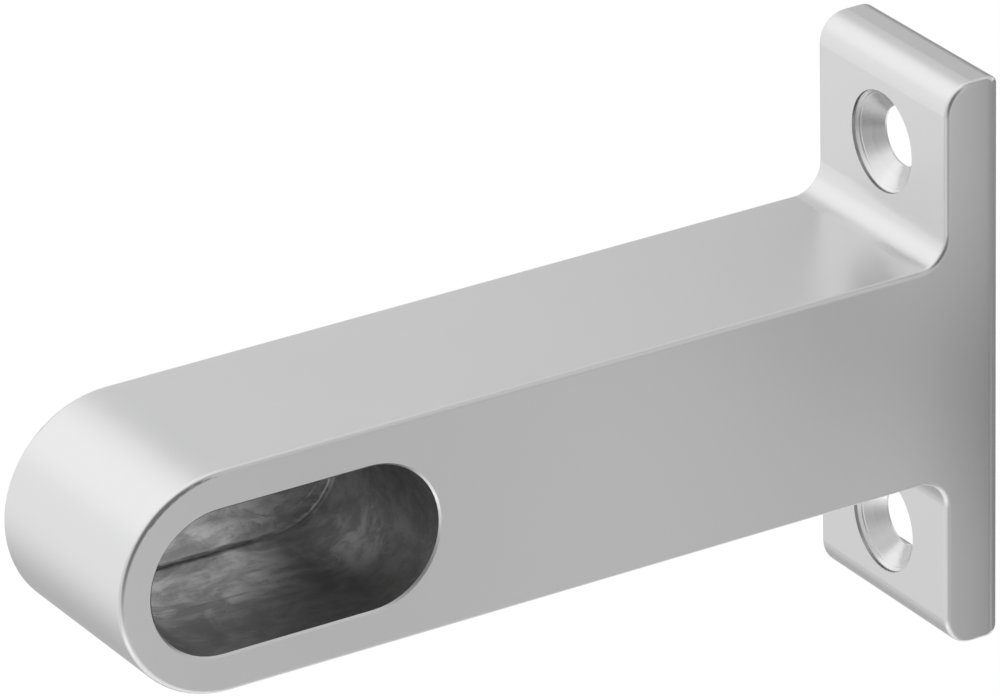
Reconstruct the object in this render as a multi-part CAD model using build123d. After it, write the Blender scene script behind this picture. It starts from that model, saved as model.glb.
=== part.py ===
"""Wardrobe rail end support: one zinc die casting, with a wall flange, an arm and a blind oval rail socket.

Millimetres. The wall is the plane y = 0, the arm runs out along -Y, +Z is up and the rail enters along -X.
"""

import os

from build123d import *

# Outside
arm_height = 22.4
body_width = 21.8
projection = 96.4
flange_height = 58.6
flange_thickness = 6.4
nose_radius = 3.0
back_radius = 1.6
inside_fillet = 3.0
edge_radius = 0.5

# Screw holes, countersunk from the front
hole_spacing = 40.0
hole_diameter = 6.0
countersink_diameter = 10.2
countersink_step = 0.3
front_wall = 2.6

# Socket for a 30 x 14 rail, open on the +X side
socket_length = 30.5
socket_height = 14.6
socket_depth = 18.4
socket_draft_angle = 0.9
socket_rim_chamfer = 0.2
socket_floor_radius = 0.5
tip_wall = 3.35
pin_mark_diameter = 10.3
pin_mark_depth = 0.15
pin_mark_offset = 8.9

# Cored back: a shallow recess over the whole flange, and a deep core up the arm
flange_wall = 2.2
flange_end_wall = 3.2
recess_corner = 2.0
recess_draft_angle = 2.0
recess_floor_radius = 0.6
arm_wall = 2.8
core_corner = 2.5
core_draft_angle = 1.0
wall_behind_socket = 2.75

half_width = body_width / 2
half_arm = arm_height / 2
tip_centre = half_arm - projection
socket_centre = tip_wall + socket_length / 2 - projection
core_depth = -socket_centre - socket_length / 2 - wall_behind_socket


def side_profile():
    """The outline seen along X: the flange with its rounded front, and the arm with its half-round end."""
    with BuildSketch(Plane.YZ) as profile:
        with Locations((-flange_thickness / 2, 0)):
            Rectangle(flange_thickness, flange_height)
        fillet(profile.vertices().group_by(Axis.X)[0], nose_radius)
        with Locations((tip_centre, 0)):
            Circle(half_arm)
        arm_length = -tip_centre - flange_thickness / 2
        with Locations((tip_centre + arm_length / 2, 0)):
            Rectangle(arm_length, arm_height)
        inside = [v for v in profile.vertices()
                  if abs(v.X + flange_thickness) < 0.01 and abs(abs(v.Y) - half_arm) < 0.01]
        fillet(inside, inside_fillet)
    return profile.sketch


def body():
    """The outside form, rounded all round the flange's back and then, more tightly, round its two sides."""
    block = extrude(side_profile(), amount=body_width).moved(Location((-half_width, 0, 0)))
    block = fillet(block.faces().sort_by(Axis.Y)[-1].edges(), back_radius)
    return fillet(block.faces().filter_by(Axis.X).edges(), edge_radius)


def screw_hole(height):
    """One countersunk hole, with a short straight step where the head sits below the face."""
    rim, bore = countersink_diameter / 2, hole_diameter / 2
    cone_top = flange_thickness - countersink_step
    cone_bottom = cone_top - (rim - bore)
    beyond = flange_thickness + 1
    with BuildPart() as hole:
        with BuildSketch(Plane.YZ):
            with BuildLine():
                Polyline((0, 0), (-beyond, 0), (-beyond, rim), (-cone_top, rim), (-cone_bottom, bore),
                         (0, bore), (0, 0))
            make_face()
        revolve(axis=Axis.Y)
    return hole.part.moved(Location((0, 0, height)))


def socket():
    """The blind oval pocket, drafted, with a rounded floor and the round mark of an ejector pin."""
    mouth = Plane(origin=(half_width, socket_centre, 0), x_dir=(0, 1, 0), z_dir=(1, 0, 0))
    with BuildPart() as pocket:
        with BuildSketch(mouth):
            SlotOverall(socket_length, socket_height)
        extrude(amount=-socket_depth, taper=socket_draft_angle)
        floor = pocket.faces().sort_by(Axis.X)[0]
        fillet(floor.edges(), socket_floor_radius)
        with BuildSketch(mouth.offset(-socket_depth)):
            with Locations((pin_mark_offset, 0)):
                Circle(pin_mark_diameter / 2)
        extrude(amount=-pin_mark_depth)
    return pocket.part


def cored_back():
    """The hollow that the wall hides: a recess behind the flange's face and the core that lightens the arm."""
    wall_side = Plane(origin=(0, 0, 0), x_dir=(1, 0, 0), z_dir=(0, 1, 0))
    with BuildPart() as recess:
        with BuildSketch(wall_side):
            RectangleRounded(body_width - 2 * flange_wall, flange_height - 2 * flange_end_wall, recess_corner)
        extrude(amount=front_wall - flange_thickness, taper=recess_draft_angle)
        floor = recess.faces().sort_by(Axis.Y)[0]
        fillet(floor.edges(), recess_floor_radius)
    with BuildPart() as core:
        with BuildSketch(wall_side):
            RectangleRounded(body_width - 2 * arm_wall, arm_height - 2 * arm_wall, core_corner)
        extrude(amount=-core_depth, taper=core_draft_angle)
    return recess.part + core.part


support = body() - socket() - cored_back()
for side in (1, -1):
    support -= screw_hole(side * hole_spacing / 2)
socket_side = support.faces().filter_by(Axis.X).sort_by(Axis.X)[-1]
support = chamfer(socket_side.inner_wires()[0].edges(), socket_rim_chamfer)

os.makedirs("parts", exist_ok=True)
export_step(support, "parts/rail_end_support.step")
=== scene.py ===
"""Wardrobe rail end support: one satin-plated zinc casting, bare metal in its socket and behind its flange.

Metres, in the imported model's frame: the wall is y = 0, the arm runs along -Y, +Z is up, the socket opens to +X.
"""

import math

import bpy
from mathutils import Matrix, Vector

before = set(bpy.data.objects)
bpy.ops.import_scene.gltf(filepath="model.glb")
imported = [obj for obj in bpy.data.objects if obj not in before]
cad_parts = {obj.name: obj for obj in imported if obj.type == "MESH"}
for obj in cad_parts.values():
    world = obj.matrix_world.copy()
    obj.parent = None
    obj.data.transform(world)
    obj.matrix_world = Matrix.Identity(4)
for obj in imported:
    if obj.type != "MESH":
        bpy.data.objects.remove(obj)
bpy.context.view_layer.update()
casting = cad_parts["rail_end_support"]

# Camera, from the photograph: angles in degrees, focal length in pixels of a 1000 x 696 picture
image_width = 1000
view_azimuth, view_elevation, view_roll = 58.8459, 25.0492, -1.3038
focal_pixels = 9671.05
camera_shift_right, camera_shift_up, camera_distance = -0.0419592, -0.0029386, 0.9265593
sensor_width = 36.0

# Where the casting's surfaces change, as in its CAD source
half_width = 0.0109
flange_front, flange_back = -0.0064, -0.0038
recess_half_width, recess_half_height = 0.0090, 0.0265
core_half_width, core_half_height, core_end = 0.0085, 0.0087, -0.0605
screw_height, countersink_reach = 0.020, 0.0052
socket_centre, socket_half_length, socket_half_height = -0.0778, 0.01525, 0.0073
socket_straight = socket_half_length - socket_half_height
behind_socket_floor = -0.0085
rim_chamfer_depth = 0.00025
same_face, same_wall = 1e-5, 1e-4

# Painted light in the socket: brighter patches standing in for light on its walls and floor, each an ellipsoid
# patch: its middle, how far it reaches, the share of that over which it is full, and its strength
painted_light_patches = (
    ((-0.0050, -0.0810, -0.0040), (0.0120, 0.0140, 0.0110), 0.5, 1.0),
    ((-0.0075, -0.0730, -0.0010), (0.0020, 0.0100, 0.0080), 0.6, 1.0),
    ((0.0005, -0.0663, -0.0050), (0.0060, 0.0050, 0.0065), 0.2, 0.75),
    ((-0.0071, -0.0655, -0.0010), (0.0005, 0.0065, 0.0080), 0.7, 1.0),
)

# The turned rings round each screw hole, by their radius; the last pair is the painted shade on the short step at
# the rim
groove_radius, groove_half_width, groove_depth = 0.00470, 0.00010, 0.000014
lip_start, lip_end, lip_fall = 0.00474, 0.00510, 0.00003
step_shade_start, step_shade_full = 0.00503, 0.00506

# The studio: how bright the room and the floor are, and how far off the panels stand
room_level, room_level_on_matt_things = 1.0, 0.92
floor_height, floor_reach, floor_paint, floor_glow = -1.0, 4.0, 0.30, 0.73
casting_middle = Vector((0, -0.05, 0))
nearest_panel, panel_gap = 0.70, 0.02
# Panels, from the farthest to the nearest: name, azimuth and elevation of its middle as seen from the casting,
# half its width and half its height in degrees, its level (1 is white) and the share of it that fades out
panels = (
    ("key_panel", -61.5, 48.1, 21.8, 35.8, 1.14, 0.30),
    ("dark_card", 78.4, 14.9, 66.0, 60.0, 0.17, 0.84),
    ("rear_card", 179.2, -18.2, 48.7, 15.6, 0.16, 0.31),
    ("left_card", -94.9, -44.1, 47.3, 38.9, 0.47, 0.99),
    ("low_panel", 22.6, -50.1, 27.2, 8.6, 1.44, 0.46),
    ("front_panel", -1.8, -19.6, 34.2, 50.5, 0.82, 0.41),
    ("right_card", 143.5, 1.1, 26.9, 27.2, 0.65, 0.56),
    ("back_card", -142.4, 9.5, 20.4, 24.8, 0.32, 0.54),
    ("upper_card", -159.3, 40.1, 50.9, 25.9, 0.73, 0.35),
    ("far_card", -177.6, -19.8, 16.3, 5.3, 0.43, 0.59),
)
# The grey card beside the flange, with the casting's shadow painted on it: metres from the middle plane, and the
# level there
wall_card_levels = (
    (0.0125, 0.25), (0.015, 0.42), (0.018, 0.46), (0.022, 0.52), (0.028, 0.62),
    (0.045, 0.57), (0.08, 0.66), (0.16, 0.52), (0.32, 0.52),
)
wall_card_y, wall_card_half_height = 0.0008, 0.20


def direction(azimuth, elevation):
    """A unit vector. Azimuth 0 is -Y, the arm's way, and 90 is +X, the socket's way."""
    a, e = math.radians(azimuth), math.radians(elevation)
    return Vector((math.sin(a) * math.cos(e), -math.cos(a) * math.cos(e), math.sin(e)))


def view_axes():
    """The camera's right, up and back directions in the object's frame."""
    a, e, r = (math.radians(v) for v in (view_azimuth, view_elevation, view_roll))
    right = Vector((math.cos(a), math.sin(a), 0))
    up = Vector((-math.sin(a) * math.sin(e), math.cos(a) * math.sin(e), math.cos(e)))
    back = direction(view_azimuth, view_elevation)
    return right * math.cos(r) + up * math.sin(r), up * math.cos(r) - right * math.sin(r), back


def add_camera():
    """A long lens at the photograph's angle."""
    right, up, back = view_axes()
    data = bpy.data.cameras.new("camera")
    data.sensor_fit = "HORIZONTAL"
    data.sensor_width = sensor_width
    data.lens = focal_pixels * sensor_width / image_width
    data.clip_start, data.clip_end = 0.05, 20.0
    camera = bpy.data.objects.new("camera", data)
    place = right * camera_shift_right + up * camera_shift_up + back * camera_distance
    columns = Matrix((right, up, back)).transposed().to_4x4()
    camera.matrix_world = Matrix.Translation(place) @ columns
    bpy.context.scene.collection.objects.link(camera)
    bpy.context.scene.camera = camera


class Nodes:
    """A short way to write a node tree: each call adds a node and links what it is given."""

    def __init__(self, owner):
        owner.use_nodes = True
        self.tree = owner.node_tree
        self.tree.nodes.clear()

    def add(self, kind, inputs=None, out=0, **settings):
        node = self.tree.nodes.new(kind)
        for name, value in settings.items():
            setattr(node, name, value)
        for name, value in (inputs or {}).items():
            self.put(node.inputs[name], value)
        return node.outputs[out]

    def put(self, socket, value):
        if isinstance(value, bpy.types.NodeSocket):
            self.tree.links.new(value, socket)
        else:
            socket.default_value = value

    def end(self, shader, kind="ShaderNodeOutputMaterial"):
        """The last node of the tree."""
        self.put(self.tree.nodes.new(kind).inputs["Surface"], shader)

    def math(self, operation, a, b=0.0, c=0.0):
        inputs = {0: a, 1: b} if operation != "MULTIPLY_ADD" else {0: a, 1: b, 2: c}
        return self.add("ShaderNodeMath", inputs, operation=operation)

    def remap(self, value, low, high, to_low=0.0, to_high=1.0, smooth=True):
        """The value from low to high, mapped to to_low to to_high and held there beyond."""
        inputs = {"Value": value, "From Min": low, "From Max": high, "To Min": to_low, "To Max": to_high}
        kind = "SMOOTHSTEP" if smooth else "LINEAR"
        return self.add("ShaderNodeMapRange", inputs, interpolation_type=kind)

    def place(self, scale=(1, 1, 1), shift=(0, 0, 0)):
        """The point on the casting, in metres, stretched for a texture."""
        point = self.add("ShaderNodeTexCoord", out="Object")
        return self.add("ShaderNodeMapping", {0: point, "Location": shift, "Scale": scale})

    def split(self, vector):
        """The x, y and z of a vector."""
        return self.add("ShaderNodeSeparateXYZ", {0: vector}).node.outputs[:]

    def point(self):
        """The x, y and z of the point on the casting, in metres."""
        return self.split(self.add("ShaderNodeTexCoord", out="Object"))

    def distance(self, a, b):
        """How far apart two values are."""
        return self.math("ABSOLUTE", self.math("SUBTRACT", a, b))

    def length(self, a, b):
        """The length of the vector (a, b)."""
        return self.math("SQRT", self.math("ADD", self.math("MULTIPLY", a, a), self.math("MULTIPLY", b, b)))

    def noise(self, vector, size, detail=2.0, roughness=0.5, distortion=0.0):
        """Noise from 0 to 1 whose lumps are about size metres across."""
        inputs = {"Vector": vector, "Scale": 1 / size, "Detail": detail, "Roughness": roughness}
        return self.add("ShaderNodeTexNoise", {**inputs, "Distortion": distortion})

    def patch(self, centre, reach, core):
        """1 in the middle of an ellipsoid patch, 0 outside it."""
        scale = [1 / r for r in reach]
        point = self.place(scale, shift=[-c * k for c, k in zip(centre, scale)])
        away = self.add("ShaderNodeVectorMath", {0: point}, out="Value", operation="LENGTH")
        return self.remap(away, 1.0, core)

    def mix(self, factor, a, b):
        """A colour between a and b."""
        colours = {"Factor": factor, 6: a, 7: b}
        return self.add("ShaderNodeMix", colours, out=2, data_type="RGBA")

    def metal(self, colour, roughness, height, depth):
        """Ends a material in a metallic shader, with a bump as high as height times depth, in metres."""
        bump = self.add("ShaderNodeBump", {"Strength": 1.0, "Distance": depth, "Height": height})
        inputs = {"Base Color": colour, "Metallic": 1.0, "Roughness": roughness, "Normal": bump}
        self.end(self.add("ShaderNodeBsdfPrincipled", inputs))


def new_material(name):
    material = bpy.data.materials.new(name)
    return material, Nodes(material)


def grey(level, blue=0.0):
    """A neutral colour, with a little more blue where that is given."""
    return level, level, level + blue, 1


def satin_plating():
    """Matt plating over a blasted casting: a fine even grain, slightly uneven in gloss."""
    material, n = new_material("satin_plating")
    grain = n.noise(n.place(), 0.00022, 2.0, 0.6)
    cloud = n.noise(n.place(), 0.012, 3.0, 0.55)
    colour = n.mix(cloud, grey(0.728, blue=0.002), grey(0.748, blue=0.002))
    roughness = n.remap(cloud, 0.3, 0.7, 0.278, 0.296)
    n.metal(colour, roughness, grain, 0.000002)
    return material


def socket_shade_line_and_scratch(n, ragged):
    """From 0 to 1: a painted shade line in the corner at the foot of the socket's wall, and the scratch along its
    lower side.
    """
    x, y, z = n.point()
    x = n.math("MULTIPLY_ADD", ragged, 0.0003, x)
    past_straight = n.math("MAXIMUM", n.math("SUBTRACT", n.distance(y, socket_centre), socket_straight), 0.0)
    from_middle = n.math("MULTIPLY_ADD", ragged, 0.0004, n.length(past_straight, z))
    # The painted shade line: dark where the socket's wall meets its floor, standing in for shade in that corner.
    near_wall = n.remap(from_middle, 0.0065, 0.0068)
    near_wall = n.math("MULTIPLY", near_wall, n.remap(from_middle, 0.0080, 0.0076))
    line_top = n.remap(y, -0.0725, -0.0690, -0.00700, -0.00738)
    near_floor = n.remap(n.math("SUBTRACT", x, line_top), 0.00008, -0.00008)
    scratch_place = n.math("MULTIPLY_ADD", y, 0.06, 0.0061)
    scratch = n.remap(n.distance(x, scratch_place), 0.00018, 0.00002, 0.0, 0.8)
    for value, none, full in ((z, -0.0062, -0.0068), (y, -0.0755, -0.0790)):
        scratch = n.math("MULTIPLY", scratch, n.remap(value, none, full))
    return n.math("MAXIMUM", n.math("MULTIPLY", near_wall, near_floor), scratch)


def bare_cast_metal():
    """The skin that the die leaves: mottled and streaked along the arm, with painted light in brighter patches
    and a painted shade line in the socket.
    """
    material, n = new_material("bare_cast_metal")
    mottle = n.noise(n.place((1.0, 0.8, 1.2)), 0.0034, 6.0, 0.66, 1.0)
    streaks = n.noise(n.place((1.0, 0.16, 1.0)), 0.0010, 4.0, 0.65, 0.3)
    fibres = n.noise(n.place((1.0, 0.10, 1.0)), 0.00028, 2.0, 0.6)
    grain = n.noise(n.place(), 0.0003, 2.0, 0.6)
    tone = n.math("MULTIPLY_ADD", streaks, 0.35, n.math("MULTIPLY", mottle, 0.65))
    # Painted light: brighter, a little glossier patches on the socket's walls and floor, standing in for light
    # that falls there.
    painted_light = 0.0
    for centre, reach, core, strength in painted_light_patches:
        patch = n.math("MULTIPLY", n.patch(centre, reach, core), strength)
        painted_light = n.math("MAXIMUM", painted_light, patch)
    shade_line_and_scratch = socket_shade_line_and_scratch(n, n.math("SUBTRACT", mottle, 0.5))
    shade = n.remap(tone, 0.40, 0.60)
    # The skin's colour, lifted to the brighter mix inside the painted light patches.
    skin_with_painted_light = n.mix(painted_light, n.mix(shade, grey(0.44), grey(0.57)), n.mix(shade, grey(0.58), grey(0.98)))
    # The colour of the painted shade line and of the scratch.
    shade_line_and_scratch_colour = n.mix(n.remap(fibres, 0.40, 0.60), grey(0.40), grey(0.70))
    roughness = n.math("MULTIPLY_ADD", painted_light, -0.06, n.remap(tone, 0.35, 0.65, 0.44, 0.34))
    roughness = n.math("MULTIPLY_ADD", shade_line_and_scratch, 0.25, roughness)
    height = n.math("MULTIPLY_ADD", grain, 0.25, tone)
    n.metal(n.mix(shade_line_and_scratch, skin_with_painted_light, shade_line_and_scratch_colour), roughness, height, 0.00004)
    return material


def turned_metal():
    """Countersinks, turned before plating: fine rings round each hole, a groove, a lip, and painted shade on the
    short step at the rim.
    """
    material, n = new_material("turned_metal")
    x, _, z = n.point()
    radius = n.length(x, n.math("SUBTRACT", n.math("ABSOLUTE", z), screw_height))
    rings = n.noise(n.add("ShaderNodeCombineXYZ", {0: radius}), 0.00035, 3.0, 0.6)
    broad = n.noise(n.place(), 0.003, 2.0)
    # Painted shade: the short step at the rim of each countersink is coloured dark all round.
    step_shade = n.remap(radius, step_shade_start, step_shade_full)
    colour = n.mix(step_shade, n.mix(rings, grey(0.74), grey(0.82)), grey(0.42))
    roughness = n.remap(broad, 0.3, 0.7, 0.276, 0.286)
    groove = n.remap(n.distance(radius, groove_radius), groove_half_width, 0.0, 0.0, -groove_depth)
    lip = n.remap(radius, lip_start, lip_end, 0.0, -lip_fall, smooth=False)
    height = n.math("ADD", n.math("ADD", groove, lip), n.math("MULTIPLY", rings, 0.000012))
    n.metal(colour, roughness, height, 1.0)
    return material


def finish_of(face):
    """Which of the three finishes a face of the casting has: 0 plated, 1 bare cast, 2 turned."""
    x, y, z = face.center
    if y > -same_face:
        return 0
    from_hole = math.hypot(x, abs(z) - screw_height)
    if from_hole < countersink_reach and flange_front + same_face < y < flange_back - same_face:
        return 2
    if flange_back - same_face < y and abs(x) < recess_half_width and abs(z) < recess_half_height:
        return 1
    if core_end < y < flange_back and abs(x) < core_half_width and abs(z) < core_half_height:
        return 1
    past_straight = max(abs(y - socket_centre) - socket_straight, 0)
    in_socket = math.hypot(past_straight, z) < socket_half_height + same_wall
    if in_socket and behind_socket_floor < x < half_width - rim_chamfer_depth:
        return 1
    return 0


def dress_casting():
    casting.material_slots[0].material = satin_plating()
    for material in (bare_cast_metal(), turned_metal()):
        casting.data.materials.append(material)
    for face in casting.data.polygons:
        face.material_index = finish_of(face)


def add_plane(name, corners, material):
    """A flat piece of the stage, not sampled as a lamp."""
    mesh = bpy.data.meshes.new(name)
    mesh.from_pydata(corners, [], [(0, 1, 2, 3)])
    mesh.materials.append(material)
    material.cycles.emission_sampling = "NONE"
    plane = bpy.data.objects.new(name, mesh)
    bpy.context.scene.collection.objects.link(plane)
    return plane


def add_floor():
    """A pale floor well below the casting. It shows as white."""
    material, n = new_material("floor")
    paint = n.add("ShaderNodeBsdfDiffuse", {"Color": grey(floor_paint)})
    glow = n.add("ShaderNodeEmission", {"Strength": floor_glow})
    n.end(n.add("ShaderNodeAddShader", {0: paint, 1: glow}))
    signs = ((-1, -1), (1, -1), (1, 1), (-1, 1))
    add_plane("floor", [(a * floor_reach, b * floor_reach, floor_height) for a, b in signs], material)


def add_panel(name, azimuth, elevation, half_wide, half_high, level, edge, distance):
    """A soft-edged panel that faces the casting. Dark ones show only in its metal, and take no light away."""
    away = direction(azimuth, elevation)
    side = direction(azimuth + 90, 0)
    rise = side.cross(away)
    middle = casting_middle + away * distance
    wide = side * distance * math.tan(math.radians(half_wide))
    high = rise * distance * math.tan(math.radians(half_high))
    corners = [middle - wide - high, middle + wide - high, middle + wide + high, middle - wide + high]
    material, n = new_material(name)
    place = n.add("ShaderNodeNewGeometry", out="Position")
    offset = n.add("ShaderNodeVectorMath", {0: place, 1: middle}, operation="SUBTRACT")
    shares = []
    for axis in (wide, high):
        unit = axis.normalized() / axis.length
        share = n.add("ShaderNodeVectorMath", {0: offset, 1: unit}, out="Value", operation="DOT_PRODUCT")
        shares.append(n.remap(n.math("ABSOLUTE", share), 1.0, 1.0 - edge))
    light = n.add("ShaderNodeEmission", {"Strength": level})
    clear = n.add("ShaderNodeBsdfTransparent")
    n.end(n.add("ShaderNodeMixShader", {0: n.math("MULTIPLY", *shares), 1: clear, 2: light}))
    panel = add_plane(name, corners, material)
    panel.visible_camera = False
    panel.visible_diffuse = panel.visible_shadow = level > 1


def add_wall_card():
    """A grey card in the wall's plane, to the right of the flange, with a painted shadow of the casting: darker
    next to it and level with the arm.
    """
    material, n = new_material("wall_card")
    x, _, z = n.split(n.add("ShaderNodeNewGeometry", out="Position"))
    # Painted shadow of the casting on the wall: a lower level along the arm's height, and the ramp darkest next
    # to the flange.
    above = n.remap(z, -0.006, 0.018, 0.80, 1.12)
    below = n.remap(z, -0.006, -0.026, 0.80, 0.99)
    left, right = wall_card_levels[0][0], wall_card_levels[-1][0]
    ramp = n.tree.nodes.new("ShaderNodeValToRGB")
    stops = ramp.color_ramp.elements
    for place, level in wall_card_levels:
        share = (place - left) / (right - left)
        stop = stops[0] if share == 0 else stops.new(share)
        stop.color = grey(level)
    n.put(ramp.inputs[0], n.remap(x, left, right, smooth=False))
    strength = n.math("MAXIMUM", above, below)
    n.end(n.add("ShaderNodeEmission", {"Color": ramp.outputs[0], "Strength": strength}))
    low, high = -wall_card_half_height, wall_card_half_height
    corners = [(a, wall_card_y, b) for a, b in ((left, low), (right, low), (right, high), (left, high))]
    card = add_plane("wall_card", corners, material)
    card.visible_camera = card.visible_diffuse = card.visible_shadow = False


def add_room():
    """A white room, a little lower on matt things, so that they keep their own colour."""
    world = bpy.data.worlds.new("room")
    bpy.context.scene.world = world
    n = Nodes(world)
    kinds = ("Is Camera Ray", "Is Glossy Ray", "Is Transmission Ray")
    camera, glossy, transmission = (n.add("ShaderNodeLightPath", out=kind) for kind in kinds)
    seen = n.math("MAXIMUM", n.math("MAXIMUM", camera, glossy), transmission)
    strength = n.remap(seen, 0.0, 1.0, room_level_on_matt_things, room_level, smooth=False)
    background = n.add("ShaderNodeBackground", {"Color": grey(1.0), "Strength": strength})
    n.end(background, "ShaderNodeOutputWorld")


add_camera()
dress_casting()
add_room()
add_floor()
for order, panel in enumerate(reversed(panels)):
    add_panel(*panel, distance=nearest_panel + panel_gap * order)
add_wall_card()
bpy.context.scene.view_settings.view_transform = "Standard"
